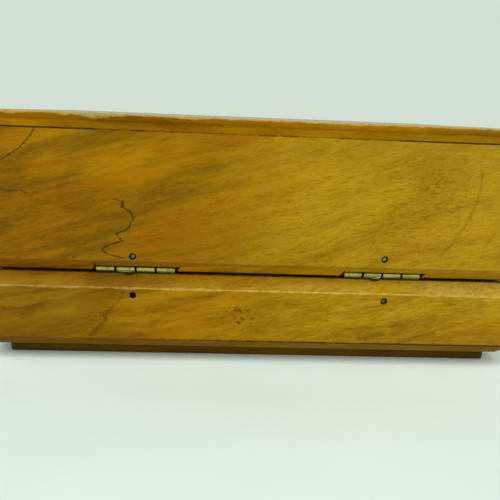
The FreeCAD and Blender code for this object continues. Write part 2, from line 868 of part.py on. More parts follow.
def key():
    # A ring bow, a round shank and a flat bit, lying in its pocket along Y.
    bow = doc.addObject("Part::Torus", "Bow")
    bow.setExpression("Radius1", formula(S.bow_ring_radius))
    bow.setExpression("Radius2", formula(S.bow_wire_radius))
    bow.Placement = FreeCAD.Placement(FreeCAD.Vector(), FreeCAD.Rotation(*TURN_TO_X))
    place_at(bow, key_x, bow_y, key_z)
    shank_start = bow_y - S.bow_ring_radius
    shank = cylinder(S.key_shank_radius, S.key_shank_length, (key_x, shank_start, key_z), TURN_TO_MINUS_Y)
    # The bit is as deep and as thick as the keyhole's slot lets through.
    bit_thickness = S.keyhole_slot_width - S.key_fit
    bit_reach = S.keyhole_slot_drop - S.key_fit
    bit = doc.addObject("Part::Box", "Bit")
    for name, length in (("Length", bit_thickness), ("Width", S.key_bit_width), ("Height", bit_reach)):
        bit.setExpression(name, formula(length))
    place_at(bit, key_x - bit_thickness / 2, shank_start - S.key_shank_length, key_z - bit_reach)
    made = fuse([bow, shank, bit])
    made.Label = "key"


def build():
    bottom_board()
    base_back_rail()
    base_front_rail()
    base_left_rail()
    base_right_rail()
    front_fixed_strip()
    keyhole_slide()
    key_slide()
    slide_stop_pegs()
    key()
    lock_case()
    lock_cover()
    lock_screws()
    lock_bolt()
    lock_spring()
    lid_back_wall()
    lid_front_wall()
    mitred_board("lid_left_wall", "left", lid_profile, lid_ridges)
    mitred_board("lid_right_wall", "right", lid_profile, lid_ridges)
    top_board()
    strike_plate()
    strike_pins()
    hinges()
    hinge_nails()


PART_TYPES = ("PartDesign::Body", "Part::MultiFuse", "Part::Compound", "Part::Cylinder")


def sub_parts():
    # The pieces of the box: the bodies and groups that no other object is made from.
    return [o for o in doc.Objects if o.TypeId in PART_TYPES and not o.InList]


def write():
    doc.recompute()
    for item in doc.Objects:
        if "Invalid" in item.State or "Error" in item.State:
            raise ValueError(f"{item.Label} failed: {item.State}")
    os.makedirs("parts", exist_ok=True)
    for piece in sub_parts():
        if piece.Shape.isNull() or not piece.Shape.isValid():
            raise ValueError(f"{piece.Label} has no valid shape")
        piece.Shape.exportStep(f"parts/{piece.Label}.step")
        print(f"{piece.Label}: {len(piece.Shape.Solids)} solid(s), {piece.Shape.Volume:.1f} mm3")


build()
write()
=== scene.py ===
import math
from functools import reduce

import bmesh
import bpy
import numpy as np
from mathutils import Matrix, Vector


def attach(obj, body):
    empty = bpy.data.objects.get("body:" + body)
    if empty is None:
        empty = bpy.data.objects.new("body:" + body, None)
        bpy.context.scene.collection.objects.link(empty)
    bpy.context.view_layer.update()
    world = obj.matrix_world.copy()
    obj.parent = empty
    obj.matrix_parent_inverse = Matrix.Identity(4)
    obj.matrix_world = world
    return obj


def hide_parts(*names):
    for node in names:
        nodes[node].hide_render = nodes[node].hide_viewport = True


# A worn wooden puzzle box seen from its hinged back: varnished boards, brass hinges, nail heads.
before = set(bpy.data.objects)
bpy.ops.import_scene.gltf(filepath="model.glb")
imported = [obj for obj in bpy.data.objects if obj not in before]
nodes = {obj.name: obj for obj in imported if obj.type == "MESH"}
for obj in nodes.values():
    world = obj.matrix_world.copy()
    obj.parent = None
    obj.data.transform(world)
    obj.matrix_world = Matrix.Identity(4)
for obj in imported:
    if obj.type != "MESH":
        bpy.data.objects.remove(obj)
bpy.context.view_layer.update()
mm = 0.001
print("frame loaded:", len(nodes), "nodes")


class Wire:
    # One socket of a node tree. Maths on wires adds Math nodes; node() adds any other node.

    def __init__(self, tree, socket=None):
        self.tree = tree
        self.socket = socket

    def node(self, kind, settings=None, inputs=None, out=0):
        made = self.tree.nodes.new(kind)
        for name, value in (settings or {}).items():
            if name == "stops":  # colour ramp: (position, colour) pairs
                ramp = made.color_ramp.elements
                while len(ramp) < len(value):
                    ramp.new(0.5)
                for element, (position, colour) in zip(ramp, value):
                    element.position = position
                    element.color = (*colour, 1.0)
            else:
                setattr(made, name, value)
        for key, value in (inputs or {}).items():
            if isinstance(value, Wire):
                self.tree.links.new(value.socket, made.inputs[key])
            else:
                made.inputs[key].default_value = value
        if isinstance(out, tuple):
            return [Wire(self.tree, made.outputs[o]) for o in out]
        return Wire(self.tree, made.outputs[out])

    def calc(self, operation, *values):
        return self.node("ShaderNodeMath", {"operation": operation}, dict(enumerate(values)))

    def __add__(self, other):
        return self.calc("ADD", self, other)

    def __sub__(self, other):
        return self.calc("SUBTRACT", self, other)

    def __rsub__(self, other):
        return self.calc("SUBTRACT", other, self)

    def __mul__(self, other):
        return self.calc("MULTIPLY", self, other)

    def __truediv__(self, other):
        return self.calc("DIVIDE", self, other)

    def __pow__(self, other):
        return self.calc("POWER", self, other)

    def __abs__(self):
        return self.calc("ABSOLUTE", self)

    __radd__ = __add__
    __rmul__ = __mul__

    def low(self, other):
        return self.calc("MINIMUM", self, other)

    def high(self, other):
        return self.calc("MAXIMUM", self, other)

    def rise(self, start, end):  # smooth 0 to 1 between two values, either way round
        sockets = {"Value": self, "From Min": start, "From Max": end}
        return self.node("ShaderNodeMapRange", {"interpolation_type": "SMOOTHSTEP"}, sockets)

    def ramp(self, positions, values):  # straight runs between values at positions from 0 to 1
        stops = [(position, (value,) * 3) for position, value in zip(positions, values)]
        return self.node("ShaderNodeValToRGB", {"stops": stops}, {"Fac": self})

    def stretch(self, x, y, z):  # a vector times a vector
        return self.node("ShaderNodeVectorMath", {"operation": "MULTIPLY"}, {0: self, 1: (x, y, z)})

    def noise(self, scale, detail=3.0, rough=0.55):
        sockets = {"Vector": self, "Scale": scale, "Detail": detail, "Roughness": rough}
        return self.node("ShaderNodeTexNoise", {}, sockets)

    def blend(self, first, second):  # colours, by this factor
        return self.node("ShaderNodeMix", {"data_type": "RGBA"}, {0: self, 6: first, 7: second}, out=2)

    def turn(self, degrees, shift):  # a vector turned, then moved
        sockets = {"Vector": self, "Rotation": [math.radians(a) for a in degrees], "Location": shift}
        return self.node("ShaderNodeMapping", {}, sockets)

    def sway(self, scale, amount):  # a vector pushed about by slow noise
        sockets = {"Vector": self, "Scale": scale, "Detail": 2.0}
        push = self.node("ShaderNodeTexNoise", {}, sockets, out="Color")
        sockets = {0: push, 1: (amount,) * 3, 2: self}
        return self.node("ShaderNodeVectorMath", {"operation": "MULTIPLY_ADD"}, sockets)

    def parts(self):  # x, y and z of a vector
        return self.node("ShaderNodeSeparateXYZ", {}, {0: self}, out=(0, 1, 2))


def rgb(red, green, blue):  # a colour as seen on screen, 0 to 255, made linear
    screen = np.array([red, green, blue]) / 255.0
    linear = np.where(screen <= 0.04045, screen / 12.92, ((screen + 0.055) / 1.055) ** 2.4)
    return (*linear.tolist(), 1.0)


def newMaterial(name):  # with its shader, and the place on the piece in mm
    material = bpy.data.materials.new(name)
    material.use_nodes = True
    wire = Wire(material.node_tree)
    place = wire.node("ShaderNodeTexCoord", out="Object")
    inMm = wire.node("ShaderNodeVectorMath", {"operation": "SCALE"}, {0: place, "Scale": 1 / mm})
    return material, material.node_tree.nodes["Principled BSDF"], inMm


def feed(shader, socket, wire):
    wire.tree.links.new(wire.socket, shader.inputs[socket])


def bumpInto(shader, height, strength, distance):
    sockets = {"Height": height, "Strength": strength, "Distance": distance}
    feed(shader, "Normal", height.node("ShaderNodeBump", {}, sockets))


def dress(node, material):  # a CAD node gets a better material
    nodes[node].data.materials.clear()
    nodes[node].data.materials.append(material)


def away(u, v, place):  # distance from a place, on two of the axes
    du, dv = u - place[0], v - place[1]
    return (du * du + dv * dv) ** 0.5


def gridPiece(name, grid):
    # A surface through grids of points (..., rows, columns, xyz); each row is a closed ring.
    index = np.arange(grid.size // 3).reshape(grid.shape[:-1])
    after = np.roll(index, -1, axis=-1)
    corners = [index[..., :-1, :], after[..., :-1, :], after[..., 1:, :], index[..., 1:, :]]
    faces = np.stack(corners, axis=-1).reshape(-1, 4)
    mesh = bpy.data.meshes.new(name)
    mesh.vertices.add(index.size)
    mesh.vertices.foreach_set("co", np.ascontiguousarray(grid, dtype=np.float32).ravel())
    mesh.loops.add(faces.size)
    mesh.loops.foreach_set("vertex_index", np.ascontiguousarray(faces, dtype=np.int32).ravel())
    mesh.polygons.add(len(faces))
    mesh.polygons.foreach_set("loop_start", np.arange(0, faces.size, 4, dtype=np.int32))
    mesh.polygons.foreach_set("use_smooth", np.full(len(faces), True))
    mesh.update(calc_edges=True)
    mesh.validate()
    piece = bpy.data.objects.new(name, mesh)
    bpy.context.scene.collection.objects.link(piece)
    return piece


def closePoles(piece):
    # Points that meet, at a pole or a tip, become one, and the faces turn outwards.
    shape = bmesh.new()
    shape.from_mesh(piece.data)
    bmesh.ops.remove_doubles(shape, verts=shape.verts, dist=1e-7)
    bmesh.ops.recalc_face_normals(shape, faces=shape.faces)
    shape.to_mesh(piece.data)
    shape.free()


def turnedPieces(name, profile, around, places, dent):
    # A profile of (radius, depth) turned about a line along Y at each place (x, y, z); positive depth runs
    # towards -Y. dent(u, v, depth) adds to the depth, with u and v across the face, all in mm.
    angle = np.linspace(0.0, 2 * np.pi, around, endpoint=False)
    radius, depth = (np.array(profile)[:, i][:, None] * mm for i in (0, 1))
    u, v = radius * np.cos(angle), radius * np.sin(angle)
    sink = depth + dent(u / mm, v / mm, depth / mm) * mm
    rings = np.stack([u, -sink, v], axis=-1)
    piece = gridPiece(name, np.stack([rings + np.array(place) * mm for place in places]))
    closePoles(piece)
    return piece


# Wood
box = {  # the box's own sizes, in mm, that marks on the wood refer to
    "halfLength": 87.0, "halfDepth": 58.0, "railFoot": 7.5, "railRidge": 24.8, "railRim": 29.0,
    "lidRim": 29.4, "lidRidge": 33.8, "seam": 74.2, "step": 76.6, "top": 78.9,
    "hinges": (38.75, -41.75), "hingeReach": 15.0, "axisY": 54.2, "axisZ": 30.3, "knuckle": 1.0,
    "lidNails": ((39.25, 35.25), (-41.25, 36.55)), "baseNails": ((39.25, 22.5), (-42.25, 22.5)),
}

varnish = {  # colours as they look on the box
    "honey": rgb(150, 102, 0), "amber": rgb(138, 88, 0), "umber": rgb(108, 63, 0), "soot": rgb(72, 36, 0),
    "straw": rgb(177, 140, 18), "ochre": rgb(142, 100, 4), "orange": rgb(156, 90, 0), "olive": rgb(92, 66, 2),
    "glow": rgb(176, 128, 2), "khaki": rgb(148, 112, 14), "paintedBounce": rgb(208, 142, 4),
    "bare": rgb(198, 168, 86), "pale": rgb(176, 164, 84), "char": rgb(40, 14, 1),
    "plinthDark": rgb(62, 38, 2), "plinthLight": rgb(88, 58, 6),
}

woodNoise = {  # each layer: changes per mm along, across and through the grain, then detail and roughness
    "sway": (0.012, 0.03, 0.03, 3.0, 0.55), "ripple": (0.05, 0.16, 0.16, 2.0, 0.55),
    "streak": (0.02, 0.22, 0.26, 4.0, 0.6), "fibre": (0.18, 0.95, 1.15, 5.0, 0.75),
    "dash": (0.26, 0.85, 1.0, 2.0, 0.5), "pore": (0.34, 2.3, 2.7, 2.0, 0.6),
    "porous": (0.03, 0.06, 0.06, 2.0, 0.55), "strand": (0.011, 0.4, 0.48, 3.0, 0.55),
    "blotch": (0.018, 0.05, 0.06, 3.0, 0.55), "warmth": (0.022, 0.07, 0.08, 3.0, 0.6),
    "grime": (0.35, 0.35, 0.35, 3.0, 0.6), "uneven": (0.9, 0.9, 0.9, 4.0, 0.65),
    "along": (0.16, 0.16, 0.16, 4.0, 0.65), "patchy": (0.4, 0.4, 1.5, 3.0, 0.7),
    "ragged": (0.32, 0.32, 0.5, 3.0, 0.7), "broken": (0.3, 0.3, 0.01, 3.0, 0.7),
    "specks": (0.66, 0.66, 0.858, 2.0, 0.6), "grooves": (0.45, 1.6, 2.0, 2.0, 0.6),
}
woodShare = {  # how much each layer shows
    "ringOval": 0.4, "ringSway": 26.0, "ringRipple": 3.0, "streak": 0.7, "blotch": 0.85, "fibre": 0.85,
    "yellowFibre": 0.35, "middle": 0.56, "orange": 0.4, "dash": 0.22, "pore": 0.38, "darkest": 0.5,
    "relief": 0.5, "grimeRough": 0.16, "footShade": 0.36, "footShadeYellow": 0.25,
}
woodFinish = {"tint": (1.0, 0.8, 0.15, 1.0), "bump": 0.25, "bumpDepth": 0.12}

# marks on the back of the box, as (x, z) in mm: dark lines that fungus drew in the wood, and growth lines,
# which are arcs; each is drawn over the coordinate that it runs along
backLines = {
    "lid": [
        {"along": "z", "width": 0.25, "strength": 0.8, "arc": False,
         "points": [(45.3, 53.4), (42.0, 52.8), (42.3, 51.0), (40.5, 50.1), (39.6, 48.9), (38.7, 47.6),
                    (39.3, 46.7), (40.2, 45.0), (40.9, 43.8), (43.0, 43.1), (44.3, 42.5), (43.4, 41.5),
                    (42.4, 40.2), (45.2, 39.3), (47.4, 38.4), (48.7, 37.4), (47.5, 36.2), (45.0, 35.3),
                    (42.2, 34.7)]},
        {"along": "z", "width": 0.24, "strength": 0.7, "arc": False,
         "points": [(67.6, 74.2), (69.2, 71.7), (70.4, 70.2), (72.3, 68.1), (74.7, 66.5), (76.9, 65.0),
                    (78.6, 63.8), (83.0, 61.5)]},
        {"along": "x", "width": 0.26, "strength": 0.5, "arc": False,
         "points": [(86.0, 57.4), (78.9, 55.6), (77.4, 55.0), (75.4, 54.8), (73.6, 55.2), (72.1, 54.9),
                    (71.0, 54.3)]},
        {"along": "z", "width": 0.55, "strength": 0.22, "arc": True,
         "points": [(-68.7, 69.3), (-70.0, 57.8), (-65.6, 49.0), (-60.0, 39.0), (-56.2, 34.8)]},
        {"along": "z", "width": 0.5, "strength": 0.16, "arc": True,
         "points": [(-77.4, 49.0), (-75.2, 44.6), (-72.1, 40.0)]},
    ],
    "rail": [
        {"along": "z", "width": 0.5, "strength": 0.24, "arc": False,
         "points": [(42.0, 24.2), (43.0, 21.5), (44.9, 19.4), (46.6, 17.7), (47.6, 16.4)]},
        {"along": "z", "width": 0.75, "strength": 0.42, "arc": False,
         "points": [(46.2, 17.9), (48.2, 15.6), (47.9, 13.9), (49.9, 11.8), (51.2, 10.4), (52.8, 8.3)]},
        {"along": "x", "width": 0.9, "strength": 0.36, "arc": True,
         "points": [(-33.5, 8.9), (-38.0, 9.8), (-44.5, 11.6)]},
        {"along": "x", "width": 1.0, "strength": 0.28, "arc": True,
         "points": [(-47.0, 7.9), (-54.0, 9.9), (-61.5, 12.3)]},
    ],
}
lineShape = {"push": 1.6, "arcPlaces": 14, "steepest": 3.0, "arcEnd": 0.15, "lineEnd": 0.01,
             "thinnest": 0.55, "swell": 0.9}


def markLine(x, z, line, jitter):
    # A dark mask by distance from a line: one ramp gives the line's course, another its slant, because a flat
    # run needs more width, and jitter pushes it about and swells it.
    across, over = (x, z) if line["along"] == "z" else (z, x)
    places = np.array(line["points"])
    if line["along"] == "z":
        places = places[:, ::-1]
    places = places[np.argsort(places[:, 0])]
    start, end = places[0, 0], places[-1, 0]
    if line["arc"]:  # one smooth bow through the points
        bow = np.linspace(start, end, lineShape["arcPlaces"])
        places = np.stack([bow, np.polyval(np.polyfit(places[:, 0], places[:, 1], 2), bow)], axis=1)
    lowest, highest = places[:, 1].min(), places[:, 1].max()
    shares = ((places[:, 0] - start) / (end - start)).tolist()
    levels = ((places[:, 1] - lowest) / (highest - lowest)).tolist()
    steepest = lineShape["steepest"]
    slant = np.hypot(1.0, np.gradient(places[:, 1], places[:, 0])).clip(1.0, steepest) / steepest
    share = (over - float(start)) / float(end - start)
    course = share.ramp(shares, levels) * float(highest - lowest) + float(lowest)
    aside = abs(across - course + (jitter - 0.5) * lineShape["push"])
    soft = lineShape["arcEnd"] if line["arc"] else lineShape["lineEnd"]  # how the line begins and stops
    inside = share.rise(-0.01, soft) * share.rise(1.01, 1.0 - soft)
    swell = jitter.rise(0.3, 0.7) * lineShape["swell"] + lineShape["thinnest"]
    width = swell * share.ramp(shares, slant.tolist()) * (line["width"] * steepest)
    return (aside / width).rise(1.7, 0.2) * inside * line["strength"]


def spot(wood, area):  # a soft oval patch on the back
    dx = (wood["x"] - area["centre"][0]) / area["radius"][0]
    dz = (wood["z"] - area["centre"][1]) / area["radius"][1]
    return (dx * dx + dz * dz).rise(1.0, 0.15)


def layer(place, name):
    along, across, through, detail, rough = woodNoise[name]
    return place.stretch(along, across, through).noise(1.0, detail, rough)


def paint(wood, mask, tone):
    wood["colour"] = mask.blend(wood["colour"], varnish[tone])


def roughen(wood, mask, amount):
    wood["rough"] = wood["rough"] + mask * amount


def woodFigure(p, look):
    # Solid wood: growth rings round a long ellipse, then streaks, fibres, dashes and pores stretched along
    # the grain, in brown that fades to yellow along the box; the darker brown at +X is partly the wood's own
    # hue and partly painted shade. All of it reads the box's own coordinates.
    x, y, z = p.parts()
    grain = p.turn(look["turn"], look["shift"])
    bands = p.turn(look["bandTurn"] or look["turn"], look["shift"])  # broad figure may cross the fibres
    gx, gy, gz = grain.parts()
    ringX = gx * look["ringPull"]
    radius = (gz * gz + gy * gy * woodShare["ringOval"] + ringX * ringX) ** 0.5
    sway = layer(grain, "sway") * woodShare["ringSway"]
    rings = (radius + sway + layer(grain, "ripple") * woodShare["ringRipple"]) / look["ringGap"]
    ring = rings.calc("FRACT", rings)
    late = ring.rise(0.35, 0.9) * ring.rise(1.0, 0.9)
    wavy = grain.sway(0.045, 7.0)  # the fibres aren't straight
    streak, fibre = layer(wavy, "streak"), layer(wavy, "fibre")
    dashes = layer(wavy, "dash").rise(0.6, 0.74)
    pore = layer(wavy, "pore").rise(0.58, 0.7)  # short dark lines, a few mm long
    porous = layer(grain, "porous").rise(0.35, 0.65) * 0.65 + 0.35
    blotch, warmth = layer(bands, "blotch"), layer(bands, "warmth")
    strand = layer(grain.sway(0.02, 5.0), "strand")  # long thin streaks
    grime = layer(p, "grime")
    # partly painted shade: browner and darker towards +X
    fade = (x.rise(85.0, -85.0) * 0.4 + x.rise(34.0, -26.0) * 0.6) * look["fade"]

    figure = (streak - 0.5) * woodShare["streak"] + (blotch - 0.5) * woodShare["blotch"]
    figure = figure + (fibre - 0.5) * (fade * woodShare["yellowFibre"] + woodShare["fibre"])
    tone = figure * look["contrast"] + woodShare["middle"] - late * look["ringDepth"]
    brown = tone.rise(0.0, 1.0).blend(look["dark"], look["light"])
    brown = (warmth.rise(0.48, 0.66) * woodShare["orange"] * look["warm"]).blend(brown, varnish["orange"])
    brown = (strand.rise(0.5, 0.66) * look["strands"]).blend(brown, varnish["orange"])
    brown = (strand.rise(0.5, 0.34) * look["strands"]).blend(brown, varnish["olive"])
    yellow = tone.rise(0.0, 1.0).blend(varnish["ochre"], varnish["straw"])
    wood = {
        "p": p, "x": x, "y": y, "z": z, "fade": fade, "streak": streak, "warmth": warmth, "grime": grime,
        "uneven": layer(p, "uneven"), "along": layer(p, "along"), "patchy": layer(p, "patchy"),
        "outside": (box["halfLength"] - abs(x)).low(box["halfDepth"] - abs(y)),  # depth in the wood
        "onBack": y.rise(40.0, 46.0), "colour": fade.blend(brown, yellow),
        "rough": look["rough"] + grime * woodShare["grimeRough"],
        "height": (fibre - dashes - pore) * woodShare["relief"],
    }
    flecks = dashes * woodShare["dash"] + pore * porous * woodShare["pore"] * look["contrast"]
    paint(wood, flecks.low(woodShare["darkest"]), "soot")
    return wood


def softAreas(wood, look):
    for area in look["shades"]:  # darker, warmer or paler, in flames along the grain; low on the lid's chamfer, a painted reflection
        flame = wood["warmth"].rise(0.36, 0.6) * 0.5 + wood["streak"].rise(0.4, 0.62) * 0.5
        paint(wood, spot(wood, area) * flame * wood["onBack"] * area["strength"], area["tone"])
    for area in look["rubs"]:  # paler
        even = wood["uneven"].rise(0.15, 0.85)
        paint(wood, spot(wood, area) * even * wood["onBack"] * area["strength"], area["tone"])
    if look["shadedFoot"]:  # painted shade: the foot chamfer faces down and is painted darker
        footShade = wood["z"].rise(box["railFoot"] + 0.2, box["railFoot"] - 0.3)
        paint(wood, footShade * (woodShare["footShade"] + wood["fade"] * woodShare["footShadeYellow"]), "olive")
        roughen(wood, footShade, 0.45)


def wornEdges(wood, look):
    x, z, along, patchy = (wood[key] for key in ("x", "z", "along", "patchy"))
    for edge in look["ridges"]:  # bare wood shows along each level where a ridge meets the outside
        band = abs(z - edge["level"] + (along - 0.5) * edge["wander"])
        width = along.rise(0.3, 0.7) * edge["width"] + edge["width"] * 0.35
        worn = (band / width).rise(1.0, 0.25) * wood["outside"].rise(edge["reach"], edge["reach"] * 0.4)
        lessAtEnds = x.rise(70.0, 0.0) * 0.5 + 0.5 - x.rise(-42.0, -62.0) * 0.5
        worn = worn * patchy.rise(*edge["patch"]) * lessAtEnds
        paint(wood, worn * edge["strength"], "bare")
        roughen(wood, worn, 0.2)
    if look["chips"]:  # the top arris: a thin rubbed line all round, and chips at the back
        ragged = layer(wood["p"], "ragged").rise(0.3, 0.62)
        depth = along.rise(0.42, 0.75) * 0.5 + 0.42
        for flake in look["chips"]:
            reach = (x - flake["middle"]) / flake["half"]
            depth = depth + (1.0 - reach * reach).high(0.0) * ragged * flake["depth"] * wood["onBack"]
        worn = ((box["top"] - z).high((wood["outside"] - 0.4) * 0.4) / depth).rise(1.15, 0.5)
        paint(wood, worn * (patchy.rise(0.3, 0.6) * 0.35 + 0.3), "pale")
        roughen(wood, worn, 0.25)


def seamDirtAndShade(wood, look):
    # Dark lines along levels, thickest towards the corners: dirt in the joint under the top board, painted
    # shade in the gap between lid and base at the rims, and darker lines along the rail's foot and the top's
    # step.
    corners = abs(wood["x"] - 5.0).rise(36.0, 56.0)
    for joint in look["seams"]:
        band = abs(wood["z"] - joint["level"] + (wood["grime"] - 0.5) * 0.25)
        broken = layer(wood["p"], "broken").rise(0.4, 0.65) * 0.55
        here = (broken + corners * 0.8 + joint["least"]).low(1.0)
        if joint["start"]:  # the line comes in along the board
            here = here * wood["x"].rise(*joint["start"])
        reach = wood["outside"].rise(joint["reach"] + 0.4, joint["reach"])
        dirtAndShade = band.rise(joint["width"] * 1.5, joint["width"] * 0.5) * here * reach
        paint(wood, dirtAndShade * joint["strength"], "char")


def backMarks(wood, look):
    x, y, z, uneven = (wood[key] for key in ("x", "y", "z", "uneven"))
    marks = [markLine(x, z, line, uneven) for line in backLines[look["back"]]]
    specks = layer(wood["p"], "specks").rise(0.55, 0.64)
    grooves = layer(wood["p"], "grooves").rise(0.56, 0.68)
    for area in look["pits"]:
        marks.append(spot(wood, area) * (specks if area["round"] else grooves) * area["strength"])
    for place in look["nails"]:  # a black ring in the hole round each nail
        hole = (away(x, z, place) + (uneven - 0.5) * 0.7).rise(1.3, 0.95)
        marks.append(hole * y.rise(50.5, 52.5))
    deeper = box["halfDepth"] - y - abs(z - look["ridgeLevel"])  # than the chamfer: inside the cuts round the hinges, painted near-black as shade
    for hinge in box["hinges"]:
        beside = abs(x - hinge).rise(box["hingeReach"] + 0.3, box["hingeReach"])
        marks.append(deeper.rise(0.1, 0.3) * beside * y.rise(51.5, 52.5) * 0.92)
    mark = reduce(Wire.high, marks)
    paint(wood, mark * wood["onBack"], "char")
    roughen(wood, mark, 0.3)


def woodMaterial(name, look):
    material, shader, p = newMaterial(name)
    wood = woodFigure(p, look)
    softAreas(wood, look)
    wornEdges(wood, look)
    seamDirtAndShade(wood, look)
    if look["back"]:
        backMarks(wood, look)
    feed(shader, "Base Color", wood["colour"])
    feed(shader, "Roughness", wood["rough"])
    shader.inputs["Specular IOR Level"].default_value = look["spec"]
    shader.inputs["Specular Tint"].default_value = woodFinish["tint"]
    bumpInto(shader, wood["height"], woodFinish["bump"], woodFinish["bumpDepth"] * mm)
    return material


def ridge(level, width, strength, reach=2.2, wander=0.5, patch=(0.25, 0.5)):
    return {"level": level, "width": width, "strength": strength, "reach": reach, "wander": wander,
            "patch": patch}


def seam(level, width, strength, reach=1.2, least=0.0, start=None):
    return {"level": level, "width": width, "strength": strength, "reach": reach, "least": least,
            "start": start}


def shade(centre, radius, strength, tone="bare"):
    return {"centre": centre, "radius": radius, "strength": strength, "tone": tone}


def pitted(centre, radius, strength, isRound):
    return {"centre": centre, "radius": radius, "strength": strength, "round": isRound}


def chip(middle, half, depth):
    return {"middle": middle, "half": half, "depth": depth}


plainLook = {
    "turn": (0, 0, 0), "bandTurn": None, "shift": (0, 0, 0), "ringPull": 0.12, "ringGap": 8.0,
    "ringDepth": 0.22, "fade": 0.4, "warm": 1.0, "dark": varnish["umber"], "light": varnish["honey"],
    "contrast": 1.0, "strands": 0.25, "spec": 0.3, "rough": 0.36, "shadedFoot": False, "back": None,
    "ridges": [], "seams": [], "chips": [], "shades": [], "rubs": [], "pits": [], "nails": (),
    "ridgeLevel": 0.0,
}
lidLook = {
    "ridges": [ridge(box["lidRidge"], 0.4, 0.18, patch=(0.45, 0.7))],
    # the rim line is painted shade in the gap between lid and base
    "seams": [seam(box["seam"], 0.24, 0.95), seam(box["lidRim"], 0.3, 0.5, 4.6, 0.4)],
}
railLook = {
    # painted shade on the rails' down-facing foot chamfer
    "ridges": [ridge(box["railRidge"], 0.5, 0.66, patch=(0.28, 0.56))], "shadedFoot": True,
    # the rim line is painted shade in the gap between lid and base
    "seams": [seam(box["railFoot"], 0.24, 0.8, least=0.25), seam(box["railRim"], 0.3, 0.5, 4.4, 0.4)],
}

woodLooks = {  # what differs from board to board: grain direction, where the pith lies, tone and marks
    "lid_back_wall": {
        **lidLook, "turn": (0, -14, 0), "bandTurn": (0, -32, 0), "shift": (14, -50, -66), "ringPull": 0.3,
        "ringDepth": 0.12, "fade": 1.0, "contrast": 1.15, "strands": 0.5, "back": "lid",
        "nails": box["lidNails"], "ridgeLevel": box["lidRidge"],
        # the rim line is painted shade in the gap between lid and base
        "seams": [seam(box["seam"], 0.24, 0.95, least=0.25), seam(box["lidRim"], 0.34, 0.97, 4.8, 0.9)],
        "pits": [pitted((-54, 55), (27, 19), 0.36, False), pitted((-52, 64), (7, 9), 0.25, True)],
        "shades": [shade((86, 59), (17, 13), 0.35, "olive"), shade((-56, 60), (12, 12), 0.2, "olive"),
                   shade((-70, 45), (40, 24), 0.16, "orange"), shade((42, 69), (42, 14), 0.55, "glow"),
                   # painted reflection: orange light bounced up from the rail's chamfer onto the lid's
                   # chamfer
                   shade((14, 40), (30, 14), 0.25, "umber"), shade((2, 29.8), (42, 3.2), 0.8, "paintedBounce"),
                   shade((-56, 72), (52, 14), 0.4, "ochre")]},
    "lid_front_wall": {**lidLook, "turn": (0, -9, 0), "shift": (40, 52, -40), "ringPull": 0.2},
    "lid_left_wall": {**lidLook, "turn": (0, 6, 90), "shift": (30, 60, -50), "ringPull": 0.22},
    "lid_right_wall": {**lidLook, "turn": (0, -5, 90), "shift": (-20, -66, -44), "ringPull": 0.2},
    "base_back_rail": {
        **railLook, "turn": (0, -11, 0), "bandTurn": (0, -24, 0), "shift": (60, -52, 10), "ringPull": 0.25,
        "ringDepth": 0.12, "fade": 1.0, "contrast": 1.5, "strands": 0.3, "back": "rail",
        "nails": box["baseNails"], "ridgeLevel": box["railRidge"],
        "seams": [seam(box["railFoot"], 0.36, 0.85, least=0.6, start=(74.0, -6.0)),
                  # painted shade in the gap between lid and base
                  seam(box["railRim"], 0.34, 0.97, 5.8, 0.9)],
        "pits": [pitted((5, 16), (6.5, 5.5), 0.62, True), pitted((-41, 11), (9, 4), 0.4, False)],
        "rubs": [shade((-71, 26.6), (24, 3.4), 0.5), shade((-22, 26.0), (18, 2.0), 0.15),
                 # painted highlight: a pale line on the lower rim of the +X nail's hole
                 shade((39.1, 21.3), (1.7, 0.5), 0.7)],
        "shades": [shade((80, 20), (36, 12), 0.85, "khaki"), shade((45.5, 27.6), (12, 3.4), 0.9, "umber"),
                   shade((-52, 12), (14, 6), 0.6, "umber"), shade((-36, 11), (6, 4), 0.6, "olive"),
                   shade((-8, 12), (12, 5), 0.4, "umber"), shade((-72, 9), (30, 9), 0.5, "orange"),
                   shade((52, 16), (8, 8), 0.35, "umber"), shade((70, 9), (34, 8), 0.75, "olive"),
                   shade((22, 17), (28, 12), 0.6, "glow"), shade((-76, 9), (24, 7), 0.45, "umber")]},
    "base_front_rail": {**railLook, "turn": (0, -6, 0), "shift": (-30, 60, 4)},
    "base_left_rail": {**railLook, "turn": (0, 4, 90), "shift": (10, 80, 2)},
    "base_right_rail": {**railLook, "turn": (0, -4, 90), "shift": (-24, -80, 6)},
    "front_fixed_strip": {"turn": (0, -4, 0), "shift": (12, 70, 30)},
    "keyhole_slide": {"turn": (0, 3, 0), "shift": (-60, 66, 22)},
    "key_slide": {"turn": (0, 2, 90), "shift": (24, 92, 30)},
    "top_board": {
        "turn": (0, 0, 3), "shift": (20, 30, -140), "fade": 0.25, "spec": 0.12, "rough": 0.14,
        "chips": [chip(51.5, 11.0, 1.3), chip(77.0, 6.0, 0.6), chip(21.0, 6.0, 0.6), chip(-30.0, 4.0, 0.5)],
        "shades": [shade((72, 75.4), (34, 2.2), 0.6, "glow"), shade((-4, 75.4), (30, 2.2), 0.6, "glow")],
        "seams": [seam(box["seam"], 0.24, 0.95, least=0.25), seam(box["step"], 0.4, 0.1, 1.0, 0.8)]},
    "bottom_board": {
        "turn": (0, 0, 2), "shift": (-20, 24, 60), "fade": 0.0, "warm": 0.0,
        "dark": varnish["plinthDark"], "light": varnish["plinthLight"],
        "shades": [shade((82, 2), (34, 8), 0.9, "char"), shade((-62, 2), (30, 8), 0.55, "char")]},
    "slide_stop_pegs": {"shift": (0, 9, 3), "dark": varnish["amber"], "light": varnish["bare"]},
}
for node, changes in woodLooks.items():
    dress(node, woodMaterial("wood_" + node, {**plainLook, **changes}))
print("wood:", len(woodLooks), "boards")


# Metal
brass = {"bright": rgb(204, 198, 104), "dull": rgb(160, 152, 62), "tarnish": rgb(74, 62, 18)}
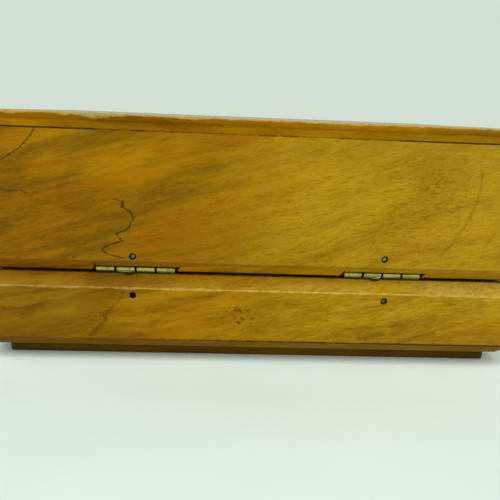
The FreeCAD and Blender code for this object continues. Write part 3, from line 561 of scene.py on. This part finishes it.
# the torn curl's colours: brass, painted pale cream as a highlight so the curl reads bright
sliverHighlightTones = {"bright": rgb(238, 234, 196), "dull": rgb(206, 200, 140), "tarnish": rgb(120, 104, 48)}
steel = {"bright": rgb(150, 146, 128), "dull": rgb(84, 80, 66), "tarnish": rgb(52, 34, 16)}
pinTones = {"bright": rgb(52, 47, 38), "dull": rgb(32, 27, 20), "tarnish": rgb(30, 18, 8)}


def metalMaterial(name, tones, rough, scale, dirtAndShade=None, metallic=1.0):
    # Handled metal: cloudy dulling, fine scratches along X, specks of tarnish, and darkening from the given
    # function: dirt on the nails, painted shade and dirt on the hinge leaves.
    material, shader, p = newMaterial(name)
    cloud = p.noise(scale, 4.0, 0.6)
    scratch = p.stretch(0.25, 5.0, 5.0).noise(1.0, 2.0, 0.6)
    speck = p.noise(scale * 5.0, 2.0, 0.6).rise(0.62, 0.74)
    colour = cloud.rise(0.32, 0.68).blend(tones["dull"], tones["bright"])
    colour = (speck * 0.4).blend(colour, tones["tarnish"])
    roughness = rough + cloud * 0.16 + scratch * 0.1
    if dirtAndShade:
        black = dirtAndShade(p, cloud)
        colour = black.blend(colour, varnish["char"])
        roughness = roughness + black * 0.4
    feed(shader, "Base Color", colour)
    feed(shader, "Roughness", roughness)
    shader.inputs["Metallic"].default_value = metallic
    bumpInto(shader, scratch, 0.12, 0.05 * mm)
    return material


def leafShadeAndDirt(p, cloud):  # painted shade: the leaf's sheet, down in the gap and the recess, is black; only the knuckles are rubbed bright, less so at -X, where dirt dulls them
    x, y, z = p.parts()
    fromPin = away(y, z, (box["axisY"], box["axisZ"]))
    sheet = fromPin.rise(box["knuckle"] + 0.04, box["knuckle"] + 0.15) * 0.9
    return sheet.high(x.rise(10.0, -10.0) * (cloud * 0.3 + 0.12))


def nailDirt(p, cloud):  # a small rubbed spot in the middle of each head, and one head lost in its hole
    x, y, z = p.parts()
    nearest = reduce(Wire.low, [away(x, z, place) for place in box["lidNails"] + box["baseNails"]])
    sunk = y.rise(57.2, 56.6)
    lower = z.rise(30.0, 28.0) * 0.5  # the rail's nails are dirtier
    return (nearest + (cloud - 0.5) * 0.5).rise(0.45, 0.85).high(sunk).high(lower) * 0.9


brassMaterial = metalMaterial("brass_worn", brass, 0.26, 0.5)
hingeMaterial = metalMaterial("brass_hinges", brass, 0.26, 0.5, leafShadeAndDirt)
sliverMaterial = metalMaterial("brass_torn_highlight", sliverHighlightTones, 0.18, 1.5, metallic=0.4)
steelMaterial = metalMaterial("steel_dull", steel, 0.4, 0.8)
pinMaterial = metalMaterial("steel_pins", pinTones, 0.5, 0.8)
nailMaterial = metalMaterial("steel_nails", steel, 0.4, 0.8, nailDirt)
metals = {
    brassMaterial: ["lock_case", "lock_cover", "strike_plate", "key", "lock_bolt"],
    hingeMaterial: ["hinge_left_lower_leaf", "hinge_left_upper_leaf", "hinge_right_lower_leaf",
                    "hinge_right_upper_leaf"],
    pinMaterial: ["hinge_left_pin", "hinge_right_pin"],
    steelMaterial: ["lock_spring", "strike_pins"],
}
for material, names in metals.items():
    for node in names:
        dress(node, material)
print("metal:", sum(len(names) for names in metals.values()), "pieces")


# Nail heads, screw heads and torn slivers of hinge
nail = {"head": 0.8, "dome": 0.14, "rim": 0.35, "neck": 0.6, "shank": 0.68, "length": 8.0, "taper": 0.85,
        "set": 0.4, "sunk": 1.8, "dent": 0.09, "dentPlace": (0.2, -0.1), "dentSpread": 0.06, "around": 40}


def hingeNails():
    # Cut nails: a low dome with a hammer dent, a short rim, and a shank that narrows to a point.
    turn = np.linspace(0.0, 1.0, 12) * np.pi / 2
    dome = np.stack([nail["head"] * np.sin(turn), nail["dome"] * (1 - np.cos(turn))], axis=1)
    shank = [(nail["head"], nail["rim"]), (nail["shank"], nail["neck"]),
             (nail["shank"], nail["length"] * nail["taper"]), (0.0, nail["length"])]
    profile = np.concatenate([dome, np.array(shank)])

    def dent(u, v, depth):
        square = (u - nail["dentPlace"][0]) ** 2 + (v - nail["dentPlace"][1]) ** 2
        return nail["dent"] * np.exp(-square / nail["dentSpread"]) * (depth < nail["dome"])

    face = box["halfDepth"] - nail["set"]
    deep = box["halfDepth"] - nail["sunk"]
    lidPlaces = [(x, face, z) for x, z in box["lidNails"]]
    basePlaces = [(x, y, z) for y, (x, z) in zip((deep, face), box["baseNails"])]
    lidPair = turnedPieces("lid_nails", profile, nail["around"], lidPlaces, dent)
    basePair = turnedPieces("base_nails", profile, nail["around"], basePlaces, dent)
    for pair, body, node in ((lidPair, "lid", "lid_hinge_nails"), (basePair, "base", "base_hinge_nails")):
        pair.data.materials.append(nailMaterial)
        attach(pair, body)
        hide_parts(node)


screw = {"head": 1.4, "crown": 0.6, "edge": 0.25, "shank": 0.7, "length": 5.0, "taper": 0.8, "slot": 0.19,
         "slotDepth": 0.32, "slotReach": 0.36, "slotTurn": 0.6, "x": 14.6, "levels": (25.0, 15.0),
         "face": -48.0, "around": 120}


def lockScrews():
    # Slotted round heads on the lock's cover: a crown that falls to a thin edge, cut by a straight slot.
    share = np.linspace(0.0, 1.0, 28)
    crown = np.stack([screw["head"] * share, (screw["crown"] - screw["edge"]) * share ** 2], axis=1)
    neck, tip = screw["crown"] + screw["length"] * screw["taper"], screw["crown"] + screw["length"]
    shank = [(screw["head"], screw["crown"]), (screw["shank"], screw["crown"]), (screw["shank"], neck),
             (0.0, tip)]
    profile = np.concatenate([crown, np.array(shank)])

    def slot(u, v, depth):
        across = np.abs(u * math.cos(screw["slotTurn"]) + v * math.sin(screw["slotTurn"]))
        cut = (across < screw["slot"]) * (depth < screw["slotReach"])
        return np.maximum(screw["slotDepth"] - depth, 0.0) * cut

    face = screw["face"] + screw["crown"]
    places = [(x, face, z) for z in screw["levels"] for x in (-screw["x"], screw["x"])]
    heads = turnedPieces("slotted_screws", profile, screw["around"], places, slot)
    heads.data.materials.append(steelMaterial)
    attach(heads, "base")
    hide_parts("lock_screws")


slivers = {  # torn from the lower leaves: x from the hinge's middle, angle below level, rise off the knuckle
    "hinge_right_sliver": {"hinge": 0, "x": (6.1, 0.6), "angle": (60, 64), "rise": 0.12, "width": 0.4},
    "hinge_left_sliver": {"hinge": 1, "x": (3.6, 0.3), "angle": (60, 30), "rise": 0.22, "width": 0.5},
}
sliverShape = {"bend": 1.6, "taper": 0.6, "sink": 0.02, "thickness": 0.05}


def hingeSlivers():
    # A flat ribbon along a path over the knuckle: the angle and the place change along it, its middle
    # stands off the knuckle, and both ends taper to a point.
    share = np.linspace(0.0, 1.0, 28)[:, None]
    around = np.linspace(0.0, 2 * np.pi, 16, endpoint=False)[None, :]
    taper = np.sin(np.pi * share) ** sliverShape["taper"]
    for name, sliver in slivers.items():
        first, last = sliver["angle"]
        angle = -np.radians(first + (last - first) * share ** sliverShape["bend"])
        across = angle + taper * sliver["width"] / 2 * np.cos(around) / box["knuckle"]
        lift = sliver["rise"] + sliverShape["thickness"] * np.sin(around)
        reach = box["knuckle"] - sliverShape["sink"] + taper * lift
        start, end = sliver["x"]
        x = box["hinges"][sliver["hinge"]] + start + (end - start) * share + 0 * around
        y, z = box["axisY"] + reach * np.cos(across), box["axisZ"] + reach * np.sin(across)
        piece = gridPiece(name, np.stack([x, y, z], axis=-1) * mm)
        closePoles(piece)
        piece.data.materials.append(sliverMaterial)
        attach(piece, "base")


hingeNails()
lockScrews()
hingeSlivers()
print("small metal: nails, screws and", len(slivers), "slivers")


# Floor, light and camera
stage = {"radius": 9.0, "colour": rgb(214, 225, 218), "patch": rgb(209, 220, 213), "far": rgb(246, 252, 247),
         "fadeFrom": 350.0, "fadeTo": 1400.0, "foot": rgb(230, 242, 234), "footFrom": 26.0, "footTo": -10.0,
         "rough": 0.9, "spec": 0.1}


def floorDisc():
    # A flat disc: rings of radius r, closer together near the box, turned about Z.
    radius = stage["radius"] * np.linspace(0.0, 1.0, 24) ** 2
    around = np.linspace(0.0, 2 * np.pi, 96, endpoint=False)
    grid = np.stack([np.outer(radius, np.cos(around)), np.outer(radius, np.sin(around)),
                     np.outer(radius * 0, around)], axis=-1)
    floor = gridPiece("floor", grid)
    material, shader, p = newMaterial("floor_pale")
    x, y = p.parts()[:2]
    colour = p.noise(0.02, 2.0).rise(0.2, 0.8).blend(stage["colour"], stage["patch"])
    foot = (abs(x) - box["halfLength"]).high(abs(y - box["halfDepth"]))  # painted light: paler along the back foot, thinning the contact shadow there
    colour = foot.rise(stage["footFrom"], stage["footTo"]).blend(colour, stage["foot"])
    far = away(x, y, (0.0, 0.0)).rise(stage["fadeFrom"], stage["fadeTo"])  # painted light: paler too far out, where no lamp reaches
    feed(shader, "Base Color", far.blend(colour, stage["far"]))
    shader.inputs["Roughness"].default_value = stage["rough"]
    shader.inputs["Specular IOR Level"].default_value = stage["spec"]
    floor.data.materials.append(material)


floorDisc()

lamps = {  # place and aim in mm, size in mm, power in watts, spread of the beam in degrees
    "overhead": {"place": (60, 260, 620), "aim": (0, 20, 30), "size": (800, 600), "power": 2.75,
                 "spread": 180},
    "right_window": {"place": (-420, 560, 260), "aim": (-30, 58, 40), "size": (420, 420), "power": 0.22,
                     "spread": 70},
}


def addLamps():
    for name, lamp in lamps.items():
        light = bpy.data.lights.new(name, "AREA")
        light.shape = "RECTANGLE"
        light.size, light.size_y = (side * mm for side in lamp["size"])
        light.energy = lamp["power"]
        light.spread = math.radians(lamp["spread"])
        holder = bpy.data.objects.new(name, light)
        place = Vector(lamp["place"]) * mm
        aim = Vector(lamp["aim"]) * mm - place
        turn = aim.to_track_quat("-Z", "Y").to_matrix().to_4x4()
        holder.matrix_world = Matrix.Translation(place) @ turn
        bpy.context.scene.collection.objects.link(holder)


addLamps()
sky = {"light": (0.96, 1.0, 0.97, 1.0), "strength": 0.7, "seen": rgb(211, 223, 211)}


def addSky():
    # Even light from all round; the camera, and metal, see a pale backdrop instead.
    world = bpy.data.worlds.new("studio")
    world.use_nodes = True
    tree = world.node_tree
    wire = Wire(tree)
    direct, gloss, through = wire.node("ShaderNodeLightPath", out=(0, 3, 6))
    seen = direct.high(gloss).high(through)
    lit = wire.node("ShaderNodeBackground", {}, {"Color": sky["light"], "Strength": sky["strength"]})
    shown = wire.node("ShaderNodeBackground", {}, {"Color": sky["seen"], "Strength": 1.0})
    mixed = wire.node("ShaderNodeMixShader", {}, {0: seen, 1: lit, 2: shown})
    tree.links.new(mixed.socket, tree.nodes["World Output"].inputs["Surface"])
    bpy.context.scene.world = world


addSky()

camera = {"place": (11.42, 233.68, 80.38), "yaw": 2.98, "down": 13.399, "roll": 2.316, "lens": 41.07,
          "sensor": 36.0, "nearest": 1.0}


def addCamera():
    # Looks towards -Y, turned by yaw, tipped down and rolled about its own line of sight.
    yaw, down, roll = (math.radians(camera[key]) for key in ("yaw", "down", "roll"))
    ahead = Vector((-math.sin(yaw) * math.cos(down), -math.cos(yaw) * math.cos(down), -math.sin(down)))
    level = Vector((-math.cos(yaw), math.sin(yaw), 0.0))
    upright = level.cross(ahead)
    right = math.cos(roll) * level + math.sin(roll) * upright
    up = math.cos(roll) * upright - math.sin(roll) * level
    lens = bpy.data.cameras.new("camera")
    lens.sensor_width = camera["sensor"]
    lens.lens = camera["lens"]
    lens.clip_start = camera["nearest"] * mm
    holder = bpy.data.objects.new("camera", lens)
    turn = Matrix((right, up, -ahead)).transposed().to_4x4()
    holder.matrix_world = Matrix.Translation(Vector(camera["place"]) * mm) @ turn
    bpy.context.scene.collection.objects.link(holder)
    bpy.context.scene.camera = holder


addCamera()
bpy.context.scene.view_settings.view_transform = "Standard"
print("stage, light and camera set")
